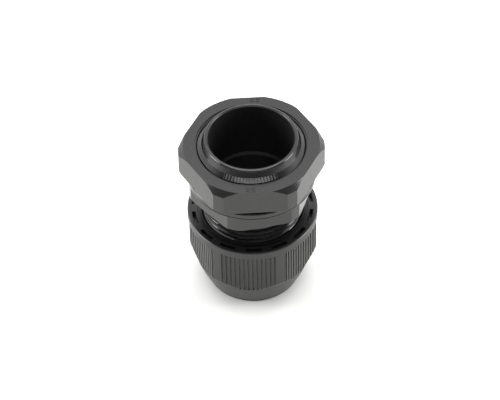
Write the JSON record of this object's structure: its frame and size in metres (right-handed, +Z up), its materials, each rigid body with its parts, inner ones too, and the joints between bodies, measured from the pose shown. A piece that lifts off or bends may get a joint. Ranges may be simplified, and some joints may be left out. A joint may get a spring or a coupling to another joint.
{
  "type": "cable gland",
  "caption": "Plastic cable gland standing on its loosened dome nut: threaded body with hexagon, lock nut, sealing washer, clamping claw and rubber seal.",
  "frame": {"origin": "on the gland's axis, in the plane of the dome nut's end ring, on which the gland stands", "axes": "+Z up along the axis toward the entry thread, -Y toward the front, +X to the right"},
  "size_m": [0.0504, 0.0464, 0.0668],
  "materials": {
    "gland_body": "black moulded nylon, smooth, glossy on the threads",
    "lock_nut": "black moulded nylon, satin",
    "sealing_washer": "black rubber, matt",
    "dome_nut": "black moulded nylon, satin",
    "clamping_claw": "black moulded nylon, matt",
    "seal_sleeve": "black rubber, matt"
  },
  "bodies": {
    "dome": {"dome_nut": "dome_nut"},
    "insert": {"clamping_claw": "clamping_claw", "seal_sleeve": "seal_sleeve"},
    "gland": {"gland_body": "gland_body"},
    "washer": {"sealing_washer": "sealing_washer"},
    "locknut": {"lock_nut": "lock_nut"}
  },
  "joints": [
    {"name": "body_turn", "type": "hinge", "parent": "dome", "child": "insert", "pos_m": [0, 0, 0.0126], "axis": [0, 0, 1], "range_deg": [-1440, 720]},
    {"name": "body_travel", "type": "slide", "parent": "insert", "child": "gland", "axis": [0, 0, 1], "range_m": [-0.00961, 0.00481]},
    {"name": "washer_turn", "type": "hinge", "parent": "gland", "child": "washer", "pos_m": [0, 0, 0.0493], "axis": [0, 0, 1], "range_deg": [-360, 1800]},
    {"name": "lock_travel", "type": "slide", "parent": "washer", "child": "locknut", "axis": [0, 0, 1], "range_m": [-0.0016, 0.00795]}
  ],
  "couplings": [
    {"joint": "body_travel", "follows": "body_turn", "m_per_rad": 0.00038197},
    {"joint": "lock_travel", "follows": "washer_turn", "m_per_rad": 0.00025266}
  ]
}
